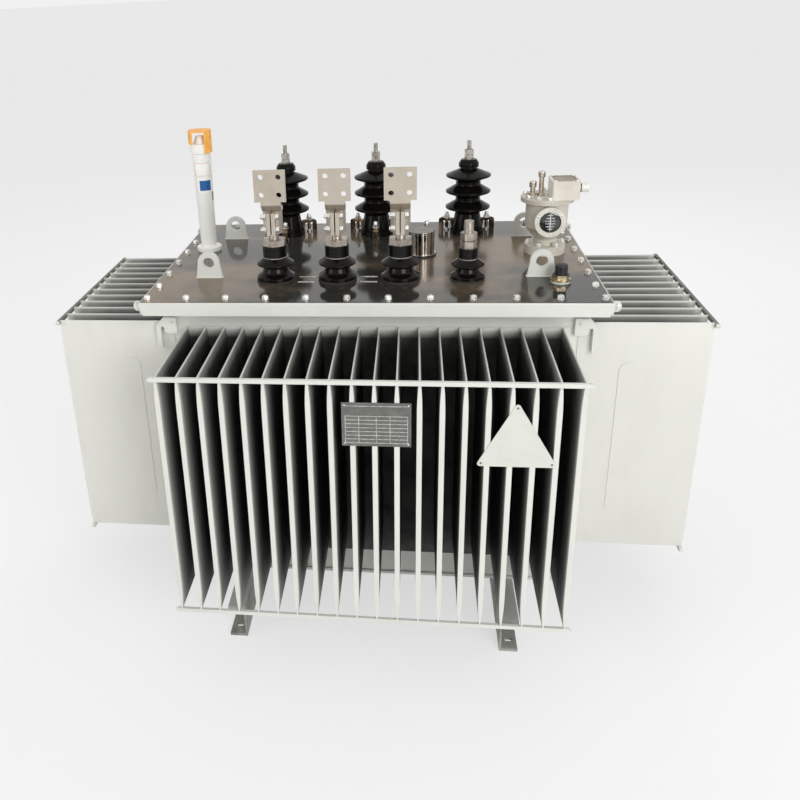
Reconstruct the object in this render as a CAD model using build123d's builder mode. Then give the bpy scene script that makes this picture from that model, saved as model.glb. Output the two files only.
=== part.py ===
from build123d import *
import os

# Oil-immersed power transformer. Millimetres, X along the row of bushings, Y towards the rear,
# Z up. Origin on the ground at the middle of the base.

# Tank
tank_length = 1024.0
tank_wall = 4.0
tank_floor_thick = 8.0
tank_floor_lip = 6.0

# Base channels
channel_height = 100.0
channel_flange = 48.0
channel_web = 5.3
channel_flange_thick = 8.5
channel_overhang = 178.0
channel_inset = 171.0
foot_slot_width = 14.0
foot_slot_length = 22.0
foot_slot_from_end = 36.0

# Cooling fins
fin_pitch = 50.0
fin_thick = 12.0
fin_pinched = 3.0
fin_taper = 85.0
front_fin_count = 20
front_fin_depth = 307.0
front_fin_bottom = 197.0
front_fin_top = 857.0
side_fin_count = 12
side_fin_depth = 313.0
side_fin_bottom = 227.0
side_fin_top = 871.0

# Raised rib on the outer face of the last fin at each end of a row
rib_width = 49.0
rib_margin = 103.0
rib_from_wall = 128.0
rib_raise = 1.5

# Tie bars across the fin noses
tie_bar_height = 10.0
tie_bar_thick = 8.0
tie_bar_overhang = 12.0
tie_bar_point = 6.0

# Rim flange on the tank and the folded cover
cover_top = 956.0
cover_plate = 8.0
skirt_height = 35.0
skirt_thick = 5.0
skirt_slant = 9.0
cover_edge_radius = 4.0
rim_thick = 10.0
rim_gap = 3.0
rim_reach_end = 50.0
rim_reach_side = 81.0

# Lifting lugs on the cover
lug_foot_width = 70.0
lug_top_radius = 29.0
lug_height = 70.0
lug_thick = 12.0
lug_hole_radius = 15.0
lug_from_end = 140.0
lug_front_y = -172.0
lug_rear_y = 200.0

# Hooks on the tank corners
hook_thick = 14.0
hook_reach = 44.0
hook_root = 12.0
hook_top = 887.0
hook_web_bottom = 843.0
hook_slot_top = 862.0
hook_tip_bottom = 797.0
hook_tongue = 13.0
hook_slot = 9.0
hook_shoulder = 22.0
hook_bend = 30.0
hook_tip_radius = 6.0
hook_slot_radius = 4.0
hook_web_radius = 10.0

# Ears on the cover skirt
ear_reach = 20.0
ear_height = 26.0
ear_thick = 5.0
ear_hole_radius = 4.0
ear_from_side = 25.0

# High-voltage bushings
hv_x = (-273.0, -2.0, 269.0)
hv_y = 248.0
hv_foot_radius = 50.0
hv_foot_height = 12.0
hv_foot_round = 1.0
hv_skirt_radius = 43.0
hv_skirt_height = 24.0
hv_body_radius = 36.0
hv_shed_radius = 65.0
hv_first_shed = 79.0
hv_shed_pitch = 47.0
hv_shed_count = 3
hv_shed_rise = 20.0
hv_shed_drop = 15.0
hv_tip_thick = 5.0
hv_tip_round = 2.2
hv_root_round = 5.0
hv_neck_radius = 24.0
hv_neck_height = 5.0
hv_cap_radius = 29.0
hv_cap_height = 22.0
hv_crown_radius = 22.0
hv_cap_slant = 11.0
hv_cap_round = 4.0
hv_stud_radius = 6.0
hv_stud_length = 53.0
hv_nut_flats = 22.0
hv_nut_height = 13.0
hv_nut_gap = 2.0
hv_nut_count = 2

# Claws that hold the high-voltage bushings down
claw_count = 3
claw_first_turn = -90.0
claw_outer_radius = 91.0
claw_clearance = 1.5
claw_width = 16.0
claw_thick = 8.0
claw_height = 36.0
claw_round = 9.0
claw_stud_radius = 5.0
claw_stud_from_axis = 68.0
claw_stud_top = 52.0
claw_nut_flats = 15.0
claw_nut_height = 8.0

# Low-voltage bushings
lv_x = (-247.0, -85.0, 77.0)
neutral_x = 246.0
lv_y = -190.0
neutral_scale = 0.866
lv_seal_radius = 50.0
lv_seal_height = 5.0
lv_bell_radius = 48.8
lv_bell_height = 10.0
lv_bell_edge = 3.0
lv_waist_radius = 31.0
lv_waist_height = 36.0
lv_flare_radius = 35.0
lv_flare_height = 23.0
lv_flare_round = 14.0
lv_shed_radius = 48.3
lv_shed_height = 46.0
lv_shed_edge = 3.0
lv_neck_radius = 29.0
lv_porcelain_top = 62.0
lv_edge_round = 1.3
lv_washer_radius = 30.0
lv_washer_thick = 3.0
lv_collar_radius = 31.0
lv_collar_height = 30.0
lv_groove_height = 24.0
lv_groove_width = 2.0
lv_groove_depth = 1.5
lv_nut_flats = 55.0
lv_nut_height = 15.0
lv_nut_turn = 30.0
lv_stud_radius = 12.5

# Neutral bushing's own collar, nuts and stud
neutral_collar_radius = 24.0
neutral_nut_flats = 36.0
neutral_nut_height = 18.0
neutral_nut_gap = 3.0
neutral_nut_count = 2
neutral_stud_radius = 12.0
neutral_stud_top = 151.0

# Clamp and flag of a low-voltage terminal
clamp_bottom = 128.0
clamp_height = 58.0
clamp_radius = 25.0
jaw_width = 24.0
jaw_reach = 40.0
jaw_slit = 3.0
jaw_round = 3.0
flag_neck_width = 50.0
flag_thick = 10.0
flag_front = 27.0
flag_bottom = 212.0
flag_height = 80.0
flag_width = 80.0
flag_hole_spacing = 45.0
flag_hole_radius = 7.0
neck_drop = 9.0
neck_front = 10.0
neck_back = 15.0
neck_lip = 6.0
neck_round = 5.0

# Oil level tube
tube_from_end = 79.0
tube_y = 90.0
tube_foot_radius = 36.5
tube_foot_height = 12.0
tube_low_radius = 23.0
tube_high_radius = 27.0
tube_height = 285.0
tube_collar_radius = 30.0
tube_collar_height = 28.0
tube_knob_radius = 20.0
tube_knob_top_radius = 12.0
tube_knob_height = 21.0
tube_round = 2.0

# Broken cap of the tube: a disc with two strips left of its side
cap_clearance = 0.3
cap_wall = 3.0
cap_disc = 4.0
cap_over_knob = 12.0
cap_left_width = 17.0
cap_left_length = 33.0
cap_right_width = 16.0
cap_right_length = 58.0

# Relief can
can_x = 132.0
can_y = 26.0
can_radius = 35.0
can_height = 69.0
can_ring_radius = 41.0
can_ring_height = 6.0
can_lid_radius = 36.0
can_lid_thick = 4.0
can_groove = 2.0
can_groove_depth = 1.5
can_round = 1.2

# Gas relay
relay_from_end = 103.0
relay_y = 44.0
relay_flange_radius = 54.0
relay_flange_thick = 12.0
relay_neck_radius = 30.0
relay_neck_height = 15.0
relay_bowl_radius = 55.5
relay_bowl_low = 73.0
relay_bowl_high = 143.0
relay_rim_radius = 70.0
relay_rim_thick = 13.0
relay_round = 3.0
relay_boss_radius = 34.0
relay_boss_reach = 62.0
relay_boss_height = 100.0
relay_sight_radius = 40.0
relay_sight_depth = 12.0
relay_glass_radius = 28.0
relay_glass_recess = 4.0
relay_box_x = 37.0
relay_box_y = -22.0
relay_box_length = 71.0
relay_box_depth = 84.0
relay_box_height = 50.0
relay_box_radius = 6.0
relay_box_rim = 6.0
relay_box_recess = 2.0
relay_gland_flats = 28.0
relay_gland_thick = 5.0
relay_gland_radius = 12.5
relay_gland_length = 26.0
relay_cock_x = (-40.0, -18.0)
relay_cock_heights = (40.0, 66.0)
relay_cock_head_heights = (16.0, 15.0)
relay_cock_head_radius = 9.5
relay_cock_body_radius = 6.5
relay_cock_flats = 18.0
relay_cock_nut = 8.0

# Thermometer pocket
pocket_from_end = 99.0
pocket_y = -216.0
pocket_boss_radius = 24.0
pocket_boss_height = 5.0
pocket_flange_radius = 25.5
pocket_flange_thick = 4.0
pocket_nut_flats = 36.0
pocket_nut_height = 11.0
pocket_cap_radius = 15.5
pocket_cap_height = 25.0
pocket_cap_round = 4.0

# Drain valve
drain_radius = 16.0
drain_length = 60.0
drain_y = 0.0
drain_z = 150.0
drain_cap_flats = 40.0
drain_cap_length = 18.0

# Worked out
half_length = tank_length / 2
half_width = fin_pitch * (side_fin_count - 1) / 2 + fin_thick / 2
channel_length = 2 * (half_width + channel_overhang)
channel_web_x = half_length - channel_inset
tank_bottom = channel_height + tank_floor_thick
cover_under = cover_top - cover_plate
wall_top = cover_under - rim_thick
rim_half_length = half_length + rim_reach_end
rim_half_width = half_width + rim_reach_side
cover_half_length = rim_half_length + rim_gap + skirt_thick
cover_half_width = rim_half_width + rim_gap + skirt_thick
lug_x = cover_half_length - lug_from_end
tube_x = tube_from_end - cover_half_length
relay_x = cover_half_length - relay_from_end
pocket_x = cover_half_length - pocket_from_end
claw_inner_radius = hv_skirt_radius + claw_clearance

os.makedirs("parts", exist_ok=True)


def save(piece, name):
    """Label a finished sub-part and write it as parts/name.step."""
    piece.part.label = name
    export_step(piece.part, f"parts/{name}.step")


# Two base channels, webs inwards and toes outwards, with a slot near each end of the lower toe
for side, name in ((-1, "base_channel_left"), (1, "base_channel_right")):
    web_x = side * channel_web_x
    toe_x = side * (channel_web_x + channel_flange)
    inner_x = web_x + side * channel_web
    with BuildPart() as channel:
        with BuildSketch(Plane.XZ.offset(channel_length / 2)):
            with BuildLine():
                Polyline(
                    (web_x, 0), (toe_x, 0), (toe_x, channel_flange_thick),
                    (inner_x, channel_flange_thick),
                    (inner_x, channel_height - channel_flange_thick),
                    (toe_x, channel_height - channel_flange_thick),
                    (toe_x, channel_height), (web_x, channel_height), close=True)
            make_face()
        extrude(amount=-channel_length)
        slot_x = web_x + side * (channel_web + channel_flange) / 2
        slot_y = channel_length / 2 - foot_slot_from_end
        with BuildSketch(Plane.XY):
            with Locations((slot_x, slot_y), (slot_x, -slot_y)):
                SlotOverall(foot_slot_length, foot_slot_width)
        extrude(amount=channel_flange_thick, mode=Mode.SUBTRACT)
    save(channel, name)

# Tank floor plate on the channels
with BuildPart() as tank_floor:
    with BuildSketch(Plane.XY.offset(channel_height)):
        Rectangle(tank_length + 2 * tank_floor_lip, 2 * (half_width + tank_floor_lip))
    extrude(amount=tank_floor_thick)
save(tank_floor, "tank_floor")

# Tank walls, each with its mitred length of rim flange
for side, name in ((-1, "tank_wall_front"), (1, "tank_wall_rear")):
    with BuildPart() as wall:
        with BuildSketch(Plane.XY.offset(tank_bottom)):
            with Locations((0, side * (half_width - tank_wall / 2))):
                Rectangle(tank_length, tank_wall)
        extrude(amount=wall_top - tank_bottom)
        with BuildSketch(Plane.XY.offset(wall_top)):
            with BuildLine():
                Polyline(
                    (-rim_half_length, side * rim_half_width),
                    (rim_half_length, side * rim_half_width),
                    (half_length - tank_wall, side * (half_width - tank_wall)),
                    (tank_wall - half_length, side * (half_width - tank_wall)), close=True)
            make_face()
        extrude(amount=rim_thick)
    save(wall, name)
for side, name in ((-1, "tank_wall_left"), (1, "tank_wall_right")):
    with BuildPart() as wall:
        with BuildSketch(Plane.XY.offset(tank_bottom)):
            with Locations((side * (half_length - tank_wall / 2), 0)):
                Rectangle(tank_wall, 2 * (half_width - tank_wall))
        extrude(amount=wall_top - tank_bottom)
        with BuildSketch(Plane.XY.offset(wall_top)):
            with BuildLine():
                Polyline(
                    (side * rim_half_length, -rim_half_width),
                    (side * rim_half_length, rim_half_width),
                    (side * (half_length - tank_wall), half_width - tank_wall),
                    (side * (half_length - tank_wall), tank_wall - half_width), close=True)
            make_face()
        extrude(amount=rim_thick)
    save(wall, name)


def fin_outline(height):
    """Nose-on outline of a fin: straight in the middle, pinched flat at both ends by arcs."""
    half = fin_thick / 2
    pinched = fin_pinched / 2
    straight = height / 2 - fin_taper
    with BuildSketch() as outline:
        with BuildLine():
            Line((-half, -straight), (-half, straight))
            TangentArc((-half, straight), (-pinched, height / 2), tangent=(0, 1))
            Line((-pinched, height / 2), (pinched, height / 2))
            TangentArc((half, straight), (pinched, height / 2), tangent=(0, 1))
            Line((half, straight), (half, -straight))
            TangentArc((half, -straight), (pinched, -height / 2), tangent=(0, -1))
            Line((pinched, -height / 2), (-pinched, -height / 2))
            TangentArc((-half, -straight), (-pinched, -height / 2), tangent=(0, -1))
        make_face()
    return outline.sketch


def fin_row(wall_plane, count, depth, bottom, top):
    """A row of separate fins standing out from a wall's face, with a raised rib on each end face."""
    face = fin_outline(top - bottom)
    row_end = fin_pitch * (count - 1) / 2 + fin_thick / 2
    rib_plane = Plane(wall_plane.from_local_coords((0, 0, rib_from_wall)), x_dir=wall_plane.z_dir,
                      z_dir=wall_plane.x_dir)
    with BuildPart() as row:
        with BuildSketch(wall_plane):
            with Locations((0, (top + bottom) / 2)):
                with GridLocations(fin_pitch, fin_pitch, count, 1):
                    add(face)
        extrude(amount=depth)
        for side in (-1, 1):
            with BuildSketch(rib_plane.offset(side * row_end)):
                with Locations((0, -(top + bottom) / 2)):
                    SlotOverall(top - bottom - 2 * rib_margin, rib_width, rotation=90)
            extrude(amount=side * rib_raise)
    return row


def tie_bars(plane, count, depth, bottom, top):
    """Two pointed bars: one across the fin noses at their top, one under the fins at the nose."""
    half = fin_pitch * (count - 1) / 2 + fin_thick / 2 + tie_bar_overhang
    with BuildPart() as bars:
        for level, back in ((top - tie_bar_height, depth), (bottom - tie_bar_height, depth - tie_bar_thick)):
            with BuildSketch(plane.offset(back)):
                with BuildLine():
                    Polyline(
                        (-half, level + tie_bar_height / 2), (-half + tie_bar_point, level),
                        (half - tie_bar_point, level), (half, level + tie_bar_height / 2),
                        (half - tie_bar_point, level + tie_bar_height),
                        (-half + tie_bar_point, level + tie_bar_height), close=True)
                make_face()
            extrude(amount=tie_bar_thick)
    return bars


front_plane = Plane.XZ.offset(half_width)
rear_plane = Plane.XZ.rotated((0, 0, 180)).offset(half_width)
left_plane = Plane.XZ.rotated((0, 0, -90)).offset(half_length)
right_plane = Plane.XZ.rotated((0, 0, 90)).offset(half_length)
for wall_plane, name in ((front_plane, "front"), (rear_plane, "rear")):
    fins = fin_row(wall_plane, front_fin_count, front_fin_depth, front_fin_bottom, front_fin_top)
    save(fins, f"cooling_fins_{name}")
    bars = tie_bars(wall_plane, front_fin_count, front_fin_depth, front_fin_bottom, front_fin_top)
    save(bars, f"tie_bars_{name}")
for wall_plane, name in ((left_plane, "left"), (right_plane, "right")):
    fins = fin_row(wall_plane, side_fin_count, side_fin_depth, side_fin_bottom, side_fin_top)
    save(fins, f"cooling_fins_{name}")
    bars = tie_bars(wall_plane, side_fin_count, side_fin_depth, side_fin_bottom, side_fin_top)
    save(bars, f"tie_bars_{name}")

# Cover: a plate with its four edges folded down, the folds cut on a slant at the corners
with BuildPart() as cover:
    with BuildSketch(Plane.XY.offset(cover_under)):
        Rectangle(2 * cover_half_length, 2 * cover_half_width)
    extrude(amount=cover_plate)
    for turn, half_run, half_across in (
            (0, cover_half_length, cover_half_width), (180, cover_half_length, cover_half_width),
            (90, cover_half_width, cover_half_length), (-90, cover_half_width, cover_half_length)):
        fold_plane = Plane.XZ.rotated((0, 0, turn)).offset(half_across - skirt_thick)
        with BuildSketch(fold_plane):
            with BuildLine():
                Polyline(
                    (-half_run, cover_top - cover_edge_radius), (half_run, cover_top - cover_edge_radius),
                    (half_run - skirt_slant, cover_top - skirt_height),
                    (skirt_slant - half_run, cover_top - skirt_height), close=True)
            make_face()
        extrude(amount=skirt_thick)
    fillet(cover.edges().group_by(Axis.Z)[-1], radius=cover_edge_radius)
save(cover, "cover")

# Four lifting lugs welded on the cover: tapered plates with a round top and a hole
with BuildPart() as lifting_lugs:
    for y in (lug_front_y, lug_rear_y):
        with BuildSketch(Plane.XZ.offset(-y - lug_thick / 2)):
            for x in (-lug_x, lug_x):
                eye = cover_top + lug_height - lug_top_radius
                with BuildLine():
                    Line((x - lug_foot_width / 2, cover_top), (x + lug_foot_width / 2, cover_top))
                    Line((x + lug_foot_width / 2, cover_top), (x + lug_top_radius, eye))
                    ThreePointArc(
                        (x + lug_top_radius, eye), (x, eye + lug_top_radius), (x - lug_top_radius, eye))
                    Line((x - lug_top_radius, eye), (x - lug_foot_width / 2, cover_top))
                make_face()
                with Locations((x, eye)):
                    Circle(lug_hole_radius, mode=Mode.SUBTRACT)
        extrude(amount=lug_thick)
save(lifting_lugs, "lifting_lugs")

# Four hooks on the tank corners: a web with a tongue that hangs down outside it
with BuildPart() as tank_hooks:
    for turn in (0, 180):
        with BuildSketch(Plane.XZ.rotated((0, 0, turn)).offset(half_width)):
            for side in (-1, 1):
                root = side * (half_length - hook_root)
                outer = side * (half_length + hook_reach)
                inner = outer - side * hook_tongue
                throat = inner - side * hook_slot
                with BuildLine():
                    FilletPolyline(
                        (root, hook_top), (outer - side * hook_shoulder, hook_top),
                        (outer, hook_top - hook_shoulder), (outer, hook_tip_bottom),
                        (inner, hook_tip_bottom), (inner, hook_slot_top),
                        (throat, hook_slot_top), (throat, hook_web_bottom),
                        (root, hook_web_bottom), close=True,
                        radius=(0, hook_web_radius, hook_bend, hook_tip_radius, hook_tip_radius,
                                hook_slot_radius, hook_slot_radius, hook_web_radius, 0))
                make_face()
        extrude(amount=hook_thick)
save(tank_hooks, "tank_hooks")

# Four small ears on the short sides of the cover skirt, near its corners
with BuildPart() as corner_ears:
    for y in (ear_from_side - cover_half_width, cover_half_width - ear_from_side):
        with BuildSketch(Plane.XZ.offset(-y - ear_thick / 2)):
            for side in (-1, 1):
                edge = side * cover_half_length
                ear_mid = cover_top - cover_edge_radius - ear_height / 2
                with Locations((edge + side * ear_reach / 4, ear_mid)):
                    Rectangle(ear_reach / 2, ear_height)
                with Locations((edge + side * ear_reach / 2, ear_mid)):
                    Ellipse(ear_reach / 2, ear_height / 2)
                    Circle(ear_hole_radius, mode=Mode.SUBTRACT)
            with Locations((0, cover_top)):
                Rectangle(2 * cover_half_length, 2 * skirt_height, mode=Mode.SUBTRACT)
        extrude(amount=ear_thick)
save(corner_ears, "corner_ears")


def turn_about(x, y, outline):
    """Turn a solid about a vertical axis, from corners of radius, height over the cover and round."""
    with BuildSketch(Plane.XZ.offset(-y).shift_origin((x, y, cover_top))) as profile:
        with BuildLine():
            FilletPolyline(*[(radius, height) for radius, height, _ in outline],
                           radius=[corner for _, _, corner in outline], close=True)
        make_face()
    revolve(profile.sketch, axis=Axis((x, y, cover_top), (0, 0, 1)))


def turned(x, y, outline):
    """A piece that is one turned solid."""
    with BuildPart() as piece:
        turn_about(x, y, outline)
    return piece


# High-voltage bushings: a glazed stem with three drooping sheds and a domed cap
hv_outline = [(0, 0, 0), (hv_foot_radius, 0, 0), (hv_foot_radius, hv_foot_height, hv_foot_round),
              (hv_skirt_radius, hv_foot_height, 0), (hv_skirt_radius, hv_skirt_height, hv_root_round)]
for shed in range(hv_shed_count):
    tip = hv_first_shed + shed * hv_shed_pitch
    hv_outline += [(hv_body_radius, tip - hv_shed_drop, hv_root_round),
                   (hv_shed_radius, tip - hv_tip_thick / 2, hv_tip_round),
                   (hv_shed_radius, tip + hv_tip_thick / 2, hv_tip_round),
                   (hv_body_radius, tip + hv_shed_rise, hv_root_round)]
hv_outline.pop()
hv_neck_bottom = hv_first_shed + (hv_shed_count - 1) * hv_shed_pitch + hv_shed_rise
hv_cap_bottom = hv_neck_bottom + hv_neck_height
hv_top = hv_cap_bottom + hv_cap_height
hv_outline += [(hv_neck_radius, hv_neck_bottom, hv_root_round / 2), (hv_neck_radius, hv_cap_bottom, 0),
               (hv_cap_radius, hv_cap_bottom, 0), (hv_cap_radius, hv_top - hv_cap_slant, hv_cap_round),
               (hv_crown_radius, hv_top, hv_cap_round), (0, hv_top, 0)]
for number, x in enumerate(hv_x, start=1):
    save(turned(x, hv_y, hv_outline), f"hv_bushing_{number}")

# High-voltage terminals: a threaded stud with two nuts, on top of each bushing
with BuildPart() as hv_terminals:
    for nut in range(hv_nut_count):
        with BuildSketch(Plane.XY.offset(cover_top + hv_top + nut * (hv_nut_height + hv_nut_gap))):
            for x in hv_x:
                with Locations((x, hv_y)):
                    RegularPolygon(hv_nut_flats / 2, 6, major_radius=False)
        extrude(amount=hv_nut_height)
    with BuildSketch(Plane.XY.offset(cover_top + hv_top)):
        for x in hv_x:
            with Locations((x, hv_y)):
                Circle(hv_stud_radius)
    extrude(amount=hv_stud_length)
save(hv_terminals, "hv_terminals")

# Claws: arched straps from the cover to the bushing's foot, each on a stud with a nut
with BuildPart() as hv_claws:
    for x in hv_x:
        for number in range(claw_count):
            turn = claw_first_turn + number * 360 / claw_count
            claw_plane = Plane((x, hv_y, cover_top), x_dir=Vector(1, 0, 0).rotate(Axis.Z, turn),
                               z_dir=Vector(0, -1, 0).rotate(Axis.Z, turn))
            with BuildSketch(claw_plane.offset(-claw_width / 2)):
                with BuildLine():
                    FilletPolyline(
                        (claw_outer_radius, 0), (claw_outer_radius, claw_height),
                        (claw_inner_radius, claw_height), (claw_inner_radius, hv_foot_height),
                        (claw_inner_radius + claw_thick / 2, hv_foot_height),
                        (claw_inner_radius + claw_thick, claw_height - claw_thick),
                        (claw_outer_radius - claw_thick, claw_height - claw_thick),
                        (claw_outer_radius - claw_thick, 0), close=True,
                        radius=(0, claw_round, claw_round, 0, 0, 0, claw_round / 2, 0))
                make_face()
            extrude(amount=claw_width)
            stud_place = claw_plane.from_local_coords((claw_stud_from_axis, 0, 0))
            with BuildSketch(Plane.XY.offset(cover_top).shift_origin(stud_place)):
                Circle(claw_stud_radius)
            extrude(amount=claw_stud_top)
            with BuildSketch(Plane.XY.offset(cover_top + claw_height).shift_origin(
                    stud_place + Vector(0, 0, claw_height))):
                RegularPolygon(claw_nut_flats / 2, 6, major_radius=False)
            extrude(amount=claw_nut_height)
save(hv_claws, "hv_claws")

# Low-voltage bushings: a seal ring, a flared bell and one shed; the neutral one is smaller
for number, x in enumerate((*lv_x, neutral_x), start=1):
    scale_to = neutral_scale if x == neutral_x else 1.0
    name = "neutral_bushing" if x == neutral_x else f"lv_bushing_{number}"
    lv_outline = [
        (0, 0, 0), (lv_seal_radius, 0, 0), (lv_seal_radius, lv_seal_height, 0),
        (lv_bell_radius, lv_seal_height, 0), (lv_bell_radius, lv_bell_height + lv_bell_edge, lv_edge_round),
        (lv_flare_radius, lv_flare_height, lv_flare_round), (lv_waist_radius, lv_waist_height, lv_edge_round),
        (lv_shed_radius, lv_shed_height - lv_shed_edge / 2, lv_edge_round),
        (lv_shed_radius, lv_shed_height + lv_shed_edge / 2, lv_edge_round),
        (lv_neck_radius, lv_porcelain_top, 0), (0, lv_porcelain_top, 0)]
    save(turned(x, lv_y, [tuple(scale_to * part for part in corner) for corner in lv_outline]), name)

# Black grooved collars on grey washers, over the low-voltage bushings
with BuildPart() as lv_collars:
    for x in (*lv_x, neutral_x):
        scale_to = neutral_scale if x == neutral_x else 1.0
        collar_radius = neutral_collar_radius if x == neutral_x else lv_collar_radius
        washer_radius = collar_radius + lv_washer_radius - lv_collar_radius
        foot = scale_to * lv_porcelain_top
        groove = foot + scale_to * lv_groove_height
        turn_about(x, lv_y, [
            (0, foot, 0), (washer_radius, foot, 0), (washer_radius, foot + lv_washer_thick, 0),
            (collar_radius, foot + lv_washer_thick, 0), (collar_radius, groove, 0),
            (collar_radius - lv_groove_depth, groove, 0),
            (collar_radius - lv_groove_depth, groove + lv_groove_width, 0),
            (collar_radius, groove + lv_groove_width, 0),
            (collar_radius, foot + scale_to * lv_collar_height + lv_washer_thick, lv_edge_round),
            (0, foot + scale_to * lv_collar_height + lv_washer_thick, 0)])
save(lv_collars, "lv_collars")

# Nuts and studs above the collars
collar_top = cover_top + lv_porcelain_top + lv_collar_height + lv_washer_thick
neutral_collar_top = cover_top + neutral_scale * (lv_porcelain_top + lv_collar_height) + lv_washer_thick
with BuildPart() as lv_studs:
    with BuildSketch(Plane.XY.offset(collar_top)):
        for x in lv_x:
            with Locations((x, lv_y)):
                RegularPolygon(lv_nut_flats / 2, 6, major_radius=False, rotation=lv_nut_turn)
    extrude(amount=lv_nut_height)
    with BuildSketch(Plane.XY.offset(collar_top)):
        for x in lv_x:
            with Locations((x, lv_y)):
                Circle(lv_stud_radius)
    extrude(amount=cover_top + clamp_bottom - collar_top)
    for nut in range(neutral_nut_count):
        with BuildSketch(Plane.XY.offset(neutral_collar_top + nut * (neutral_nut_height + neutral_nut_gap))):
            with Locations((neutral_x, lv_y)):
                RegularPolygon(neutral_nut_flats / 2, 6, major_radius=False)
        extrude(amount=neutral_nut_height)
    with BuildSketch(Plane.XY.offset(neutral_collar_top)):
        with Locations((neutral_x, lv_y)):
            Circle(neutral_stud_radius)
    extrude(amount=cover_top + neutral_stud_top - neutral_collar_top)
save(lv_studs, "lv_studs")

# Clamp and drilled flag of each low-voltage terminal: split jaws, a bent neck and a flat flag
clamp_top = cover_top + clamp_bottom + clamp_height
flag_foot = cover_top + flag_bottom
for number, x in enumerate(lv_x, start=1):
    with BuildPart() as terminal:
        with BuildSketch(Plane.XY.offset(cover_top + clamp_bottom)):
            with Locations((x, lv_y)):
                Circle(clamp_radius)
                with Locations((0, -jaw_reach / 2)):
                    RectangleRounded(jaw_width, jaw_reach, jaw_round)
                Rectangle(jaw_slit, jaw_reach, align=(Align.CENTER, Align.MAX), mode=Mode.SUBTRACT)
        extrude(amount=clamp_height)
        with BuildSketch(Plane.YZ.offset(x - flag_neck_width / 2)):
            with BuildLine():
                FilletPolyline(
                    (lv_y - flag_front, flag_foot + flag_thick), (lv_y - flag_front, flag_foot - neck_drop),
                    (lv_y - neck_front, clamp_top), (lv_y + neck_back, clamp_top),
                    (lv_y + neck_back, clamp_top + neck_lip),
                    (lv_y - flag_front + flag_thick, flag_foot - neck_drop + neck_lip),
                    (lv_y - flag_front + flag_thick, flag_foot + flag_thick), close=True,
                    radius=(0, neck_round, 0, 0, neck_round / 2, neck_round, 0))
            make_face()
        extrude(amount=flag_neck_width)
        with BuildSketch(Plane.XZ.offset(-lv_y + flag_front - flag_thick)):
            with Locations((x, flag_foot + flag_height / 2)):
                Rectangle(flag_width, flag_height)
                with GridLocations(flag_hole_spacing, flag_hole_spacing, 2, 2):
                    Circle(flag_hole_radius, mode=Mode.SUBTRACT)
        extrude(amount=flag_thick)
    save(terminal, f"lv_terminal_{number}")

# Oil level tube: a foot ring, a slightly conical tube, a collar and a knob on top
tube_knob_foot = tube_height + tube_collar_height
save(turned(tube_x, tube_y, [
    (0, 0, 0), (tube_foot_radius, 0, 0), (tube_foot_radius, tube_foot_height, tube_round),
    (tube_low_radius, tube_foot_height, tube_round), (tube_high_radius, tube_height, tube_round),
    (tube_collar_radius, tube_height + tube_round, 0), (tube_collar_radius, tube_knob_foot, 0),
    (tube_knob_radius, tube_knob_foot, tube_round),
    (tube_knob_top_radius, tube_knob_foot + tube_knob_height, tube_round),
    (0, tube_knob_foot + tube_knob_height, 0)]), "oil_level_tube")

# What is left of its cap: the disc with a short strip at the left and a long one at the right
cap_inner = tube_collar_radius + cap_clearance
cap_outer = cap_inner + cap_wall
cap_under = tube_knob_foot + tube_knob_height + cap_over_knob
with BuildPart() as oil_level_cap:
    with BuildSketch(Plane.XY.offset(cover_top + cap_under)):
        with Locations((tube_x, tube_y)):
            Circle(cap_outer)
    extrude(amount=cap_disc)
    for side, strip_width, strip_length in ((-1, cap_left_width, cap_left_length),
                                            (1, cap_right_width, cap_right_length)):
        with BuildSketch(Plane.XY.offset(cover_top + cap_under - strip_length)):
            with Locations((tube_x, tube_y)):
                Circle(cap_outer)
                Circle(cap_inner, mode=Mode.SUBTRACT)
            with Locations((tube_x + side * (cap_outer - strip_width / 2), tube_y)):
                Rectangle(strip_width, cap_outer, align=(Align.CENTER, Align.MAX), mode=Mode.INTERSECT)
        extrude(amount=strip_length)
save(oil_level_cap, "oil_level_cap")

# Relief can: a foot ring, a round body and a thin lid over a groove
can_lid_foot = can_height - can_lid_thick
save(turned(can_x, can_y, [
    (0, 0, 0), (can_ring_radius, 0, 0), (can_ring_radius, can_ring_height, can_round),
    (can_radius, can_ring_height, 0), (can_radius, can_lid_foot - can_groove, 0),
    (can_radius - can_groove_depth, can_lid_foot - can_groove, 0),
    (can_radius - can_groove_depth, can_lid_foot, 0), (can_lid_radius, can_lid_foot, 0),
    (can_lid_radius, can_height, can_round), (0, can_height, 0)]), "relief_can")

# Gas relay: a foot flange, a bowl on a neck with a boss for the sight glass, and its fittings
relay_neck_foot = 2 * relay_flange_thick
relay_lid = relay_bowl_high + relay_rim_thick
save(turned(relay_x, relay_y, [
    (0, 0, 0), (relay_flange_radius, 0, 0), (relay_flange_radius, relay_flange_thick, 0),
    (0, relay_flange_thick, 0)]), "relay_foot")
with BuildPart() as relay_body:
    turn_about(relay_x, relay_y, [
        (0, relay_flange_thick, 0), (relay_flange_radius, relay_flange_thick, 0),
        (relay_flange_radius, relay_neck_foot, 0), (relay_neck_radius, relay_neck_foot, relay_round),
        (relay_neck_radius, relay_neck_foot + relay_neck_height, relay_round),
        (relay_bowl_radius, relay_bowl_low, relay_round), (relay_bowl_radius, relay_bowl_high, 0),
        (relay_rim_radius, relay_bowl_high, 0), (relay_rim_radius, relay_lid, relay_round),
        (0, relay_lid, 0)])
    with BuildSketch(Plane.XZ.offset(-relay_y)):
        with Locations((relay_x, cover_top + relay_boss_height)):
            Circle(relay_boss_radius)
    extrude(amount=relay_boss_reach)
save(relay_body, "relay_body")
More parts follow.
